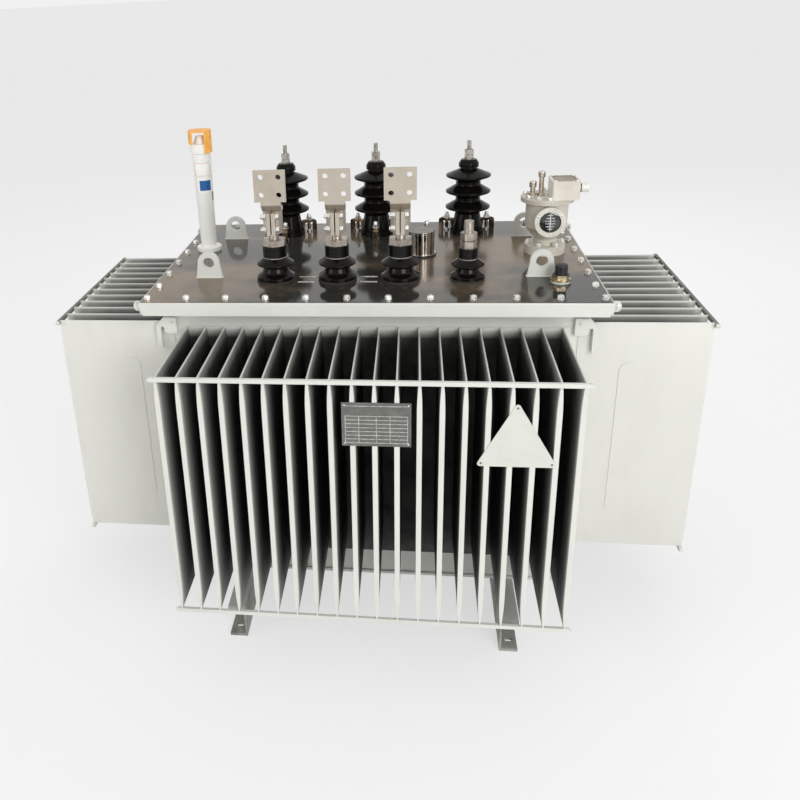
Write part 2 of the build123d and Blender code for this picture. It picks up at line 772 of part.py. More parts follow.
with BuildPart() as relay_box:
    with BuildSketch(Plane.XY.offset(cover_top + relay_lid)):
        with Locations((relay_x + relay_box_x, relay_y + relay_box_y)):
            RectangleRounded(relay_box_length, relay_box_depth, relay_box_radius)
    extrude(amount=relay_box_height)
    with BuildSketch(Plane.XY.offset(cover_top + relay_lid + relay_box_height)):
        with Locations((relay_x + relay_box_x, relay_y + relay_box_y)):
            Rectangle(relay_box_length - 2 * relay_box_rim, relay_box_depth - 2 * relay_box_rim)
    extrude(amount=-relay_box_recess, mode=Mode.SUBTRACT)
save(relay_box, "relay_box")
with BuildPart() as relay_sight:
    with BuildSketch(Plane.XZ.offset(-relay_y + relay_boss_reach)):
        with Locations((relay_x, cover_top + relay_boss_height)):
            Circle(relay_sight_radius)
    extrude(amount=relay_sight_depth)
    with BuildSketch(Plane.XZ.offset(-relay_y + relay_boss_reach + relay_sight_depth)):
        with Locations((relay_x, cover_top + relay_boss_height)):
            Circle(relay_glass_radius)
    extrude(amount=-relay_glass_recess, mode=Mode.SUBTRACT)
save(relay_sight, "relay_sight")
with BuildPart() as relay_gland:
    with BuildSketch(Plane.YZ.offset(relay_x + relay_box_x + relay_box_length / 2)):
        with Locations((relay_y + relay_box_y, cover_top + relay_lid + relay_box_height / 2)):
            RegularPolygon(relay_gland_flats / 2, 6, major_radius=False)
    extrude(amount=relay_gland_thick)
    with BuildSketch(Plane.YZ.offset(relay_x + relay_box_x + relay_box_length / 2 + relay_gland_thick)):
        with Locations((relay_y + relay_box_y, cover_top + relay_lid + relay_box_height / 2)):
            Circle(relay_gland_radius)
    extrude(amount=relay_gland_length - relay_gland_thick)
save(relay_gland, "relay_gland")
with BuildPart() as relay_cocks:
    with BuildSketch(Plane.XY.offset(cover_top + relay_lid)):
        for x in relay_cock_x:
            with Locations((relay_x + x, relay_y)):
                RegularPolygon(relay_cock_flats / 2, 6, major_radius=False)
    extrude(amount=relay_cock_nut)
    for x, height, head in zip(relay_cock_x, relay_cock_heights, relay_cock_head_heights):
        turn_about(relay_x + x, relay_y, [
            (0, relay_lid, 0), (relay_cock_body_radius, relay_lid, 0),
            (relay_cock_body_radius, relay_lid + height - head, 0),
            (relay_cock_head_radius, relay_lid + height - head, 0),
            (relay_cock_head_radius, relay_lid + height, relay_round), (0, relay_lid + height, 0)])
save(relay_cocks, "relay_cocks")

# Thermometer pocket: a boss, a brass flange with its hexagon, and a round cap
pocket_nut_foot = pocket_boss_height + pocket_flange_thick
pocket_cap_foot = pocket_nut_foot + pocket_nut_height
with BuildPart() as thermometer_pocket:
    turn_about(pocket_x, pocket_y, [
        (0, 0, 0), (pocket_boss_radius, 0, 0), (pocket_boss_radius, pocket_boss_height, 0),
        (pocket_flange_radius, pocket_boss_height, 0), (pocket_flange_radius, pocket_nut_foot, 0),
        (pocket_cap_radius, pocket_nut_foot, 0),
        (pocket_cap_radius, pocket_cap_foot + pocket_cap_height, pocket_cap_round),
        (0, pocket_cap_foot + pocket_cap_height, 0)])
    with BuildSketch(Plane.XY.offset(cover_top + pocket_nut_foot)):
        with Locations((pocket_x, pocket_y)):
            RegularPolygon(pocket_nut_flats / 2, 6, major_radius=False)
    extrude(amount=pocket_nut_height)
save(thermometer_pocket, "thermometer_pocket")

# Drain valve low on the right-hand wall
with BuildPart() as drain_valve:
    with BuildSketch(Plane.YZ.offset(half_length)):
        with Locations((drain_y, drain_z)):
            Circle(drain_radius)
    extrude(amount=drain_length)
    with BuildSketch(Plane.YZ.offset(half_length + drain_length)):
        with Locations((drain_y, drain_z)):
            RegularPolygon(drain_cap_flats / 2, 6, major_radius=False)
    extrude(amount=drain_cap_length)
save(drain_valve, "drain_valve")
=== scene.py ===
import math
import random
import bmesh
import bpy
from mathutils import Matrix, Vector


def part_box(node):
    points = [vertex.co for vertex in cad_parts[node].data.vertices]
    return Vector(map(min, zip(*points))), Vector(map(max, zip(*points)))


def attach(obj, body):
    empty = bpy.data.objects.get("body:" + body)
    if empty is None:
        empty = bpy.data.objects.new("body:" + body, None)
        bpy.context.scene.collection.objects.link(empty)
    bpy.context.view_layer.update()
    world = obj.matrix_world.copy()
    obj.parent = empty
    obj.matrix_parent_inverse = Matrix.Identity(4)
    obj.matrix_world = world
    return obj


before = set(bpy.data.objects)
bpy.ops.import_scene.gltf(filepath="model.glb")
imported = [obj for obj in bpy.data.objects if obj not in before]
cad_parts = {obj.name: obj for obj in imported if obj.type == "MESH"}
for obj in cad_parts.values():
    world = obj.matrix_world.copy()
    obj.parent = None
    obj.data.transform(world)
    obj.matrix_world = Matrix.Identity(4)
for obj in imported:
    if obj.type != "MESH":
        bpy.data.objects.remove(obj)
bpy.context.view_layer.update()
scene = bpy.context.scene
scene.view_settings.view_transform = "Standard"

# The room: a plain pale floor that runs far back under an even white sky and keeps the tank's shadow.
# One large soft lamp stands at the front right, and weaker ones at the left and behind, so that faces
# turned to the right are the brighter.
floor_half = 400.0
floor_colour = (0.8, 0.8, 0.8, 1)
floor_glow = 0.6
sky_light = 0.62
white_seen = 0.88
floor_white = 1.0
lamps = (("lamp_right", (2.4, -4.4, 2.6), 3.0, 145.0, True),
         ("lamp_left", (-3.8, -2.6, 2.2), 2.5, 38.0, True),
         ("lamp_rear", (0.6, 3.6, 3.4), 2.5, 55.0, False))
lamp_aim = Vector((0, 0, 0.6))

sky = bpy.data.worlds.new("sky")
sky.use_nodes = True
scene.world = sky
sky_nodes, sky_links = sky.node_tree.nodes, sky.node_tree.links
sky_nodes["Background"].inputs["Color"].default_value = (1, 1, 1, 1)
sky_nodes["Background"].inputs["Strength"].default_value = sky_light
seen_sky = sky_nodes.new("ShaderNodeBackground")
seen_sky.inputs["Color"].default_value = (white_seen, white_seen, white_seen, 1)
sky_mix = sky_nodes.new("ShaderNodeMixShader")


def seen_rays(tree):
    """One where a ray from the camera, a mirror or glass looks, and nought where light is gathered."""
    rays = tree.nodes.new("ShaderNodeLightPath")
    total = rays.outputs["Is Camera Ray"]
    for kind in ("Is Glossy Ray", "Is Transmission Ray"):
        step = tree.nodes.new("ShaderNodeMath")
        step.operation = "MAXIMUM"
        tree.links.new(total, step.inputs[0])
        tree.links.new(rays.outputs[kind], step.inputs[1])
        total = step.outputs[0]
    return total


sky_links.new(seen_rays(sky.node_tree), sky_mix.inputs[0])
sky_links.new(sky_nodes["Background"].outputs[0], sky_mix.inputs[1])
sky_links.new(seen_sky.outputs[0], sky_mix.inputs[2])
sky_links.new(sky_mix.outputs[0], sky_nodes["World Output"].inputs["Surface"])

floor_paint = bpy.data.materials.new("floor_paint")
floor_paint.use_nodes = True
floor_tree = floor_paint.node_tree
floor_shader = floor_tree.nodes["Principled BSDF"]
floor_shader.inputs["Base Color"].default_value = floor_colour
floor_shader.inputs["Roughness"].default_value = 0.9
floor_light = floor_tree.nodes.new("ShaderNodeEmission")
floor_light.inputs["Color"].default_value = (floor_white, floor_white, floor_white, 1)
floor_mix = floor_tree.nodes.new("ShaderNodeMixShader")
floor_share = floor_tree.nodes.new("ShaderNodeMath")
floor_share.operation = "MULTIPLY"
floor_share.inputs[1].default_value = floor_glow
floor_tree.links.new(seen_rays(floor_tree), floor_share.inputs[0])
floor_tree.links.new(floor_share.outputs[0], floor_mix.inputs[0])
floor_tree.links.new(floor_shader.outputs[0], floor_mix.inputs[1])
floor_tree.links.new(floor_light.outputs[0], floor_mix.inputs[2])
floor_tree.links.new(floor_mix.outputs[0], floor_tree.nodes["Material Output"].inputs["Surface"])
floor_mesh = bpy.data.meshes.new("floor")
floor_shape = bmesh.new()
bmesh.ops.create_grid(floor_shape, x_segments=1, y_segments=1, size=floor_half)
floor_shape.to_mesh(floor_mesh)
floor_shape.free()
floor_mesh.materials.append(floor_paint)
floor = bpy.data.objects.new("floor", floor_mesh)
scene.collection.objects.link(floor)

for lamp_name, lamp_at, lamp_size, lamp_power, lamp_mirrored in lamps:
    lamp_data = bpy.data.lights.new(lamp_name, "AREA")
    lamp_data.shape = "DISK"
    lamp_data.size = lamp_size
    lamp_data.energy = lamp_power
    lamp = bpy.data.objects.new(lamp_name, lamp_data)
    lamp.location = lamp_at
    lamp.visible_glossy = lamp_mirrored
    lamp.rotation_euler = (lamp_aim - lamp.location).to_track_quat("-Z", "Y").to_euler()
    scene.collection.objects.link(lamp)

# The camera, where the photographer stood: to the right of the middle, above the bushings, looking
# down and a little to the left, with the picture leaning a few degrees.
picture_width = 800
focal_length_pixels = 838.0
axis_pixel = (290.3, 331.5)
sensor_width = 36.0
camera_at = (0.1085, -2.2567, 1.6587)
camera_heading, camera_pitch, camera_roll = (math.radians(angle) for angle in (8.966, -22.151, -3.084))
camera_data = bpy.data.cameras.new("camera")
camera_data.sensor_width = sensor_width
camera_data.lens = focal_length_pixels * sensor_width / picture_width
camera_data.shift_x = 0.5 - axis_pixel[0] / picture_width
camera_data.shift_y = axis_pixel[1] / picture_width - 0.5
camera = bpy.data.objects.new("camera", camera_data)
camera.matrix_world = (Matrix.Translation(camera_at) @ Matrix.Rotation(camera_heading, 4, "Z")
                       @ Matrix.Rotation(math.pi / 2 + camera_pitch, 4, "X")
                       @ Matrix.Rotation(camera_roll, 4, "Z"))
scene.collection.objects.link(camera)
scene.camera = camera

# The tank: welded sheet steel on two channel feet, with a drain valve low on its right wall. It is
# sprayed light grey all over, a little uneven, and darker on the feet.
tank_grey = (214, 215, 208)
tank_grey_dull = (207, 208, 201)
foot_grey = (158, 159, 153)
foot_grey_dull = (120, 119, 112)
feet_top = 0.1
far = 9


def shade(red, green, blue):
    """A colour as it looks, 0 to 255, in the linear values that a shader takes."""
    parts = [part / 255 for part in (red, green, blue)]
    return [part / 12.92 if part < 0.04045 else ((part + 0.055) / 1.055) ** 2.4 for part in parts] + [1]


def make_group(name, given, made):
    """An empty shader node group with its named inputs and outputs."""
    group = bpy.data.node_groups.new(name, "ShaderNodeTree")
    for label, kind, value in given:
        group.interface.new_socket(label, in_out="INPUT", socket_type=kind).default_value = value
    for label, kind in made:
        group.interface.new_socket(label, in_out="OUTPUT", socket_type=kind)
    return group, group.nodes.new("NodeGroupInput"), group.nodes.new("NodeGroupOutput")


patches, patches_in, patches_out = make_group(
    "patches", [("Scale", "NodeSocketFloat", 8), ("Stretch", "NodeSocketVector", (1, 1, 1)),
                ("From", "NodeSocketFloat", 0.4), ("To", "NodeSocketFloat", 0.6)],
    [("Mask", "NodeSocketFloat")])
place = patches.nodes.new("ShaderNodeTexCoord")
stretch = patches.nodes.new("ShaderNodeVectorMath")
stretch.operation = "MULTIPLY"
cloud = patches.nodes.new("ShaderNodeTexNoise")
cloud.inputs["Detail"].default_value = 6
cloud.inputs["Roughness"].default_value = 0.6
spread = patches.nodes.new("ShaderNodeMapRange")
patches.links.new(place.outputs["Object"], stretch.inputs[0])
patches.links.new(patches_in.outputs["Stretch"], stretch.inputs[1])
patches.links.new(stretch.outputs[0], cloud.inputs["Vector"])
patches.links.new(patches_in.outputs["Scale"], cloud.inputs["Scale"])
patches.links.new(cloud.outputs["Fac"], spread.inputs["Value"])
patches.links.new(patches_in.outputs["From"], spread.inputs["From Min"])
patches.links.new(patches_in.outputs["To"], spread.inputs["From Max"])
patches.links.new(spread.outputs[0], patches_out.inputs["Mask"])

zone, zone_in, zone_out = make_group(
    "zone", [("Low", "NodeSocketVector", (-far, -far, -far)), ("High", "NodeSocketVector", (far, far, far))],
    [("Mask", "NodeSocketFloat")])
place = zone.nodes.new("ShaderNodeTexCoord")
above, below, nearer = (zone.nodes.new("ShaderNodeVectorMath") for _ in range(3))
above.operation, below.operation, nearer.operation = "SUBTRACT", "SUBTRACT", "MINIMUM"
parts = zone.nodes.new("ShaderNodeSeparateXYZ")
least, lowest, inside = (zone.nodes.new("ShaderNodeMath") for _ in range(3))
least.operation, lowest.operation, inside.operation = "MINIMUM", "MINIMUM", "GREATER_THAN"
inside.inputs[1].default_value = 0
zone.links.new(place.outputs["Object"], above.inputs[0])
zone.links.new(zone_in.outputs["Low"], above.inputs[1])
zone.links.new(zone_in.outputs["High"], below.inputs[0])
zone.links.new(place.outputs["Object"], below.inputs[1])
zone.links.new(above.outputs[0], nearer.inputs[0])
zone.links.new(below.outputs[0], nearer.inputs[1])
zone.links.new(nearer.outputs[0], parts.inputs[0])
zone.links.new(parts.outputs["X"], least.inputs[0])
zone.links.new(parts.outputs["Y"], least.inputs[1])
zone.links.new(least.outputs[0], lowest.inputs[0])
zone.links.new(parts.outputs["Z"], lowest.inputs[1])
zone.links.new(lowest.outputs[0], inside.inputs[0])
zone.links.new(inside.outputs[0], zone_out.inputs["Mask"])

depth, depth_in, depth_out = make_group(
    "depth", [("Across", "NodeSocketVector", (0, 1, 0)), ("Nose", "NodeSocketFloat", 0.6),
              ("Deep", "NodeSocketFloat", 0.4), ("Top", "NodeSocketFloat", 1),
              ("Lower", "NodeSocketFloat", 0.9)],
    [("Mask", "NodeSocketFloat")])
place = depth.nodes.new("ShaderNodeTexCoord")
either_side, reach = (depth.nodes.new("ShaderNodeVectorMath") for _ in range(2))
either_side.operation, reach.operation = "ABSOLUTE", "DOT_PRODUCT"
parts = depth.nodes.new("ShaderNodeSeparateXYZ")
inwards, downwards = (depth.nodes.new("ShaderNodeMapRange") for _ in range(2))
together = depth.nodes.new("ShaderNodeMath")
together.operation = "MULTIPLY"
depth.links.new(place.outputs["Object"], either_side.inputs[0])
depth.links.new(either_side.outputs[0], reach.inputs[0])
depth.links.new(depth_in.outputs["Across"], reach.inputs[1])
depth.links.new(reach.outputs["Value"], inwards.inputs["Value"])
depth.links.new(depth_in.outputs["Nose"], inwards.inputs["From Min"])
depth.links.new(depth_in.outputs["Deep"], inwards.inputs["From Max"])
depth.links.new(place.outputs["Object"], parts.inputs[0])
depth.links.new(parts.outputs["Z"], downwards.inputs["Value"])
depth.links.new(depth_in.outputs["Top"], downwards.inputs["From Min"])
depth.links.new(depth_in.outputs["Lower"], downwards.inputs["From Max"])
depth.links.new(inwards.outputs[0], together.inputs[0])
depth.links.new(downwards.outputs[0], together.inputs[1])
depth.links.new(together.outputs[0], depth_out.inputs["Mask"])


def coat(colour, worn, patch=8, spread_from=0.42, spread_to=0.66, run=(1, 1, 1), rough=(0.35, 0.5),
         metal=0.0, low=None, high=None, deep=None):
    """One coat of a finish: its colour, with worn patches of a size and stretch, from dull to bright.
    A coat with a low or a high corner lies only between them, and is open on a side where that corner
    is far. A deep one fades in with depth."""
    return {"colour": shade(*colour), "worn": shade(*worn), "patch": patch, "from": spread_from,
            "to": spread_to, "run": run, "rough": rough, "metal": metal, "low": low, "high": high,
            "deep": deep}


def placed(tree, group, **values):
    """A node group in a material's tree, with its own values."""
    node = tree.nodes.new("ShaderNodeGroup")
    node.node_tree = group
    for label, value in values.items():
        node.inputs[label].default_value = value
    return node


def blended(tree, kind, mask, first, second):
    """Two colours or two values mixed by a mask. Each is a socket or a plain value."""
    node = tree.nodes.new("ShaderNodeMix")
    node.data_type = kind
    sockets = [socket for socket in node.inputs if socket.type == {"RGBA": "RGBA", "FLOAT": "VALUE"}[kind]]
    tree.links.new(mask, node.inputs["Factor"])
    for socket, value in zip(sockets[-2:], (first, second)):
        if isinstance(value, bpy.types.NodeSocket):
            tree.links.new(value, socket)
        else:
            socket.default_value = value
    return next(socket for socket in node.outputs if socket.enabled)


def make_finish(name, coats, grain=(600, 0.00015), **plain):
    """A material of one or more coats over a fine grain. Plain values go straight to the shader."""
    finish = bpy.data.materials.new(name)
    finish.use_nodes = True
    tree = finish.node_tree
    shader = tree.nodes["Principled BSDF"]
    for label, value in plain.items():
        shader.inputs[label.replace("_", " ")].default_value = value
    colour = rough = metal = None
    for layer in coats:
        mask = placed(tree, patches, Scale=layer["patch"], Stretch=layer["run"], From=layer["from"],
                      To=layer["to"]).outputs["Mask"]
        layer_colour = blended(tree, "RGBA", mask, layer["colour"], layer["worn"])
        layer_rough = blended(tree, "FLOAT", mask, *layer["rough"])
        if colour is None:
            colour, rough, metal = layer_colour, layer_rough, layer["metal"]
            continue
        here = placed(tree, zone, Low=layer["low"] or (-far, -far, -far),
                      High=layer["high"] or (far, far, far)).outputs["Mask"]
        if layer["deep"]:
            gathered = tree.nodes.new("ShaderNodeMath")
            gathered.operation = "MULTIPLY"
            tree.links.new(here, gathered.inputs[0])
            tree.links.new(placed(tree, depth, **layer["deep"]).outputs["Mask"], gathered.inputs[1])
            here = gathered.outputs[0]
        colour = blended(tree, "RGBA", here, colour, layer_colour)
        rough = blended(tree, "FLOAT", here, rough, layer_rough)
        if layer["metal"] != metal:
            metal = blended(tree, "FLOAT", here, metal, layer["metal"])
    tree.links.new(colour, shader.inputs["Base Color"])
    tree.links.new(rough, shader.inputs["Roughness"])
    if isinstance(metal, bpy.types.NodeSocket):
        tree.links.new(metal, shader.inputs["Metallic"])
    else:
        shader.inputs["Metallic"].default_value = metal
    relief = tree.nodes.new("ShaderNodeBump")
    relief.inputs["Distance"].default_value = grain[1]
    fine = placed(tree, patches, Scale=grain[0], From=0, To=1)
    tree.links.new(fine.outputs["Mask"], relief.inputs["Height"])
    tree.links.new(relief.outputs["Normal"], shader.inputs["Normal"])
    return finish


def dress(finish, *nodes):
    """Gives CAD nodes their finish."""
    for node in nodes:
        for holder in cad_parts[node].material_slots:
            holder.material = finish


tank_paint = make_finish(
    "tank_paint", [coat(tank_grey, tank_grey_dull, patch=6, rough=(0.36, 0.5)),
                   coat(foot_grey, foot_grey_dull, patch=14, rough=(0.5, 0.7), high=(far, far, feet_top))],
    grain=(500, 0.0002))
dress(tank_paint, "base_channel_left", "base_channel_right", "tank_floor", "drain_valve")

# Welds on the tank: the corner seams where the wall sheets meet, from the floor plate up to the rim
# flange. They are runs of small drops, sprayed over with the tank's paint.
seam_width = 0.006
seam_pitch = 0.004
chance = random.Random(7)
plate_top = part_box("tank_floor")[1].z
fins_front_low, fins_front_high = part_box("cooling_fins_front")
fins_right_low, fins_right_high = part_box("cooling_fins_right")
wall_x = fins_right_low.x
wall_y = -fins_front_high.y
rim_thick = 0.01
rim_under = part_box("tank_wall_front")[1].z - rim_thick
rounded_under = math.radians(38)


def weld(bm, start, end, width=seam_width, pitch=seam_pitch):
    """A run of overlapping weld drops from one point to another."""
    start, end = Vector(start), Vector(end)
    count = max(2, round((end - start).length / pitch))
    for drop in range(count):
        spot = start.lerp(end, (drop + 0.5) / count)
        size = width * chance.uniform(0.8, 1.15)
        bmesh.ops.create_icosphere(bm, subdivisions=1, radius=size / 2, matrix=Matrix.Translation(spot))


def fit(bm, name, finish):
    """Closes a finished piece's seams, turns its faces outwards and fixes it to the transformer."""
    bmesh.ops.remove_doubles(bm, verts=bm.verts, dist=0.00001)
    bmesh.ops.recalc_face_normals(bm, faces=bm.faces)
    mesh = bpy.data.meshes.new(name)
    bm.to_mesh(mesh)
    bm.free()
    mesh.polygons.foreach_set("use_smooth", [True] * len(mesh.polygons))
    mesh.set_sharp_from_angle(angle=rounded_under)
    mesh.materials.append(finish)
    piece = bpy.data.objects.new(name, mesh)
    scene.collection.objects.link(piece)
    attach(piece, "root")
    return piece


seams = bmesh.new()
for side_x in (-1, 1):
    for side_y in (-1, 1):
        corner = (side_x * wall_x, side_y * wall_y)
        weld(seams, (*corner, plate_top), (*corner, rim_under))
fit(seams, "tank_seams", tank_paint)

# Cooling fins: thin sheet folded into deep hollow fins, pinched and welded shut at top and bottom.
# They have the tank's paint, with painted shade on it: darker with depth between them, on the fins and
# on the walls behind. The upper tie bars of the side rows carry painted shade too.
fin_light = (214, 214, 207)
fin_worn = (208, 208, 201)
fin_shade = (150, 151, 146)
fin_shade_dull = (136, 137, 131)
fin_deep_shade = (70, 71, 67)
fin_deep_shade_dull = (44, 45, 42)
shade_reach = 0.022
shade_below = 0.006
deep_reach = 0.1
end_fin = 0.009
lit_edge = 0.001
lit_wall_top = 0.004
wall_shade_from = 0.175
fin_rows = {"long": ("cooling_fins_front", "cooling_fins_rear"),
            "side": ("cooling_fins_left", "cooling_fins_right")}
walls = {"long": ("tank_wall_front", "tank_wall_rear"), "side": ("tank_wall_left", "tank_wall_right")}
fin_bead = 0.0055
front_fins = 20
side_fins = 12
fin_pitch = 0.05
bead_reach = 0.03
bead_pitch = 0.006
bead_lift = 0.003
top_bar_shade_reach = 0.1
bar_shade = (112, 112, 107)
bar_shade_dull = (92, 92, 87)
# Each row's fins and the walls behind them get coats of painted shade that darken inward from the noses,
# below a lit strip at the top.
for name, across, nose, row_half, top, deep_below in (
        ("long", (0, 1, 0), -fins_front_low.y, (fins_front_high.x - end_fin, far, far),
         fins_front_high.z, 0.03),
        ("side", (1, 0, 0), fins_right_high.x, (far, fins_right_high.y - end_fin, far),
         fins_right_high.z, 0.024)):
    fin_coats = [coat(fin_light, fin_worn, patch=7, run=(1, 1, 0.4), rough=(0.38, 0.52))]
    wall_coats = [coat(tank_grey, tank_grey_dull, patch=6, rough=(0.36, 0.5))]
    for paint, dull, reach, below in ((fin_shade, fin_shade_dull, shade_reach, shade_below),
                                      (fin_deep_shade, fin_deep_shade_dull, deep_reach, deep_below)):
        inward = {"Across": across, "Nose": nose - lit_edge, "Deep": nose - reach, "Top": top - lit_edge,
                  "Lower": top - below}
        fin_coats.append(coat(paint, dull, patch=9, run=(1, 1, 0.3), rough=(0.55, 0.7), deep=inward,
                              low=[-part for part in row_half], high=row_half))
    wall_coats.append(coat(fin_deep_shade, fin_deep_shade_dull, patch=9, rough=(0.55, 0.7),
                           low=[-part for part in row_half[:2]] + [wall_shade_from], high=row_half,
                           deep=dict(inward, Across=(0, 0, 0), Top=top - lit_wall_top)))
    dress(make_finish("fin_paint_" + name, fin_coats, grain=(450, 0.0003)), *fin_rows[name])
    dress(make_finish("wall_paint_" + name, wall_coats, grain=(500, 0.0002)), *walls[name])
# Side-row tie bars: the tank's paint, with painted shade on the upper bars.
shaded_bar_paint = make_finish(
    "shaded_bar_paint", [coat(tank_grey, tank_grey_dull, patch=6, rough=(0.36, 0.5)),
                  coat(bar_shade, bar_shade_dull, patch=14, rough=(0.45, 0.6),
                       low=(-far, -fins_right_high.y, fins_right_high.z - top_bar_shade_reach),
                       high=(far, fins_right_high.y, far))])
dress(tank_paint, "tie_bars_front", "tie_bars_rear")
dress(shaded_bar_paint, "tie_bars_left", "tie_bars_right")

fin_welds = bmesh.new()
for side in (-1, 1):
    fin_top = fins_front_high.z
    for number in range(front_fins):
        x = (number - (front_fins - 1) / 2) * fin_pitch
        weld(fin_welds, (x - fin_pitch / 2, side * wall_y, fin_top + bead_lift),
             (x + fin_pitch / 2, side * wall_y, fin_top + bead_lift), width=fin_bead, pitch=bead_pitch)
        weld(fin_welds, (x, side * wall_y, fin_top), (x, side * (wall_y + bead_reach), fin_top),
             width=fin_bead)
    fin_top = fins_right_high.z
    for number in range(side_fins):
        y = (number - (side_fins - 1) / 2) * fin_pitch
        weld(fin_welds, (side * wall_x, y - fin_pitch / 2, fin_top + bead_lift),
             (side * wall_x, y + fin_pitch / 2, fin_top + bead_lift), width=fin_bead, pitch=bead_pitch)
        weld(fin_welds, (side * wall_x, y, fin_top), (side * (wall_x + bead_reach), y, fin_top),
             width=fin_bead)
fit(fin_welds, "fin_welds", tank_paint)

# Plates on the front fins: a rating plate of dark enamelled steel with a raised rim and bare ruled
# fields, held by bright screws, and a pale triangular plate, held by small dark rivets.
rating_low = (-0.049, 0.691)
rating_high = (0.107, 0.801)
plate_thick = 0.0015
plate_gap = 0.0003
plate_rim = 0.004
plate_recess = 0.0007
plate_screw = 0.0028
plate_screw_height = 0.0016
rivet = 0.0026
rivet_height = 0.0012
rivet_inset_share = 0.14
plate_dark = (92, 93, 88)
plate_dark_worn = (108, 108, 102)
rule_pale = (206, 206, 200)
plate_rule = 0.0013
plate_rows = 7
plate_header = 0.026
triangle_top = (0.336, 0.809)
triangle_base = (0.249, 0.429, 0.647)
triangle_round = 0.012
noses_y = fins_front_low.y
front_turn = Matrix.Rotation(math.pi / 2, 4, "X")
rating_finish = make_finish("rating_enamel", [coat(plate_dark, plate_dark_worn, patch=60, rough=(0.3, 0.42))])
rule_finish = make_finish("rating_rules", [coat(rule_pale, (150, 151, 145), patch=90, rough=(0.35, 0.5))])
triangle_finish = make_finish(
    "triangle_paint", [coat((207, 208, 200), (201, 202, 194), patch=22, rough=(0.35, 0.5))],
    grain=(700, 0.0001))
screw_finish = make_finish(
    "screw_zinc", [coat((212, 210, 204), (160, 157, 150), patch=120, rough=(0.25, 0.4), metal=1.0)])


def bar(bm, low, high):
    """A flat bar between two corners."""
    low, high = Vector(low), Vector(high)
    size = high - low
    bmesh.ops.create_cube(bm, size=1,
                          matrix=Matrix.Translation((low + high) / 2) @ Matrix.Diagonal((*size, 1)))


def dome(bm, at, radius, height, turn=Matrix.Identity(4)):
    """A round screw head, flat side down."""
    form = Matrix.Translation(at) @ turn @ Matrix.Diagonal((radius, radius, height, 1))
    bmesh.ops.create_uvsphere(bm, u_segments=12, v_segments=8, radius=1, matrix=form)


plate_back = noses_y - plate_gap
plate_face = plate_back - plate_thick
rating = bmesh.new()
bar(rating, (rating_low[0], plate_face, rating_low[1]), (rating_high[0], plate_back, rating_high[1]))
face = [side for side in rating.faces if side.calc_center_median().y < plate_face + plate_recess / 2]
bmesh.ops.inset_region(rating, faces=face, thickness=plate_rim, use_even_offset=True)
bmesh.ops.translate(rating, verts=list({v for side in face for v in side.verts}), vec=(0, plate_recess, 0))
fit(rating, "rating_plate", rating_finish)

rules = bmesh.new()
left, right = rating_low[0] + 2 * plate_rim, rating_high[0] - 2 * plate_rim
bottom, top = rating_low[1] + 2 * plate_rim, rating_high[1] - 2 * plate_rim
rule_back = plate_face + plate_recess
rule_face = rule_back - plate_recess / 2
row_height = (top - plate_header - bottom) / plate_rows
for row in range(plate_rows + 1):
    level = bottom + row * row_height
    bar(rules, (left, rule_face, level - plate_rule / 2), (right, rule_back, level + plate_rule / 2))
for share in (0, 0.22, 0.5, 0.72, 1):
    x = left + share * (right - left)
    bar(rules, (x - plate_rule / 2, rule_face, bottom), (x + plate_rule / 2, rule_back, top - plate_header))
bar(rules, (left, rule_face, top - plate_rule), (right, rule_back, top))
fit(rules, "rating_plate_rules", rule_finish)

triangle = bmesh.new()
corners = [(triangle_base[0], triangle_base[2]), (triangle_base[1], triangle_base[2]), triangle_top]
triangle.faces.new([triangle.verts.new((x, plate_back, z)) for x, z in corners])
bmesh.ops.bevel(triangle, geom=list(triangle.verts), offset=triangle_round, segments=5, profile=0.5,
                affect="VERTICES", material=-1)
raised = bmesh.ops.extrude_face_region(triangle, geom=list(triangle.faces))
bmesh.ops.translate(triangle, verts=[v for v in raised["geom"] if isinstance(v, bmesh.types.BMVert)],
                    vec=(0, -plate_thick, 0))
fit(triangle, "triangle_plate", triangle_finish)

screws, rivets = bmesh.new(), bmesh.new()
screw_inset = plate_rim * 1.6
for x in (rating_low[0] + screw_inset, rating_high[0] - screw_inset):
    for z in (rating_low[1] + screw_inset, rating_high[1] - screw_inset):
        dome(screws, (x, plate_face, z), plate_screw, plate_screw_height, front_turn)
middle = Vector((sum(x for x, z in corners) / 3, 0, sum(z for x, z in corners) / 3))
for x, z in corners:
    spot = Vector((x, 0, z)).lerp(middle, rivet_inset_share)
    dome(rivets, (spot.x, plate_face, spot.z), rivet, rivet_height, front_turn)
fit(screws, "plate_screws", screw_finish)
fit(rivets, "triangle_rivets", rating_finish)

# Cover: a steel plate with its edges folded down. The top is bare, rolled bright, so that it mirrors
# what stands on it; its colour is written dark as a painted reflection of dark surroundings, smeared
# brighter brown, partly its own smears and partly painted reflection, with a thin pale line on its
# left, right and rear edges. The folded edges have the tank's paint.
cover_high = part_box("cover")[1]
cover_top = cover_high.z
bare_from = cover_top - 0.0008
# Steel colours with painted reflection: dark for dark surroundings, brighter brown smears partly the steel's
# own.
steel_dark_reflection = (70, 69, 64)
steel_smear_and_reflection = (130, 113, 93)
edge_width = 0.005
edge_grey = (190, 190, 184)
edge_dull = (150, 146, 136)
edges = [((cover_high.x - edge_width, -far, bare_from), (far, far, far)),
         ((-far, -far, bare_from), (edge_width - cover_high.x, far, far)),
         ((-far, cover_high.y - edge_width, bare_from), (far, far, far))]
cover_finish = make_finish(
    "cover_steel", [coat(tank_grey, tank_grey_dull, patch=6, rough=(0.36, 0.5)),
                    coat(steel_dark_reflection, steel_smear_and_reflection, patch=2.8, spread_from=0.45, spread_to=0.6,
                         run=(1, 1.2, 1), rough=(0.08, 0.2), metal=0.45, low=(-far, -far, bare_from))]
    + [coat(edge_grey, edge_dull, patch=30, rough=(0.3, 0.5), low=low, high=high) for low, high in edges],
    grain=(300, 0.00003))
dress(cover_finish, "cover")
dress(tank_paint, "lifting_lugs", "tank_hooks", "corner_ears")

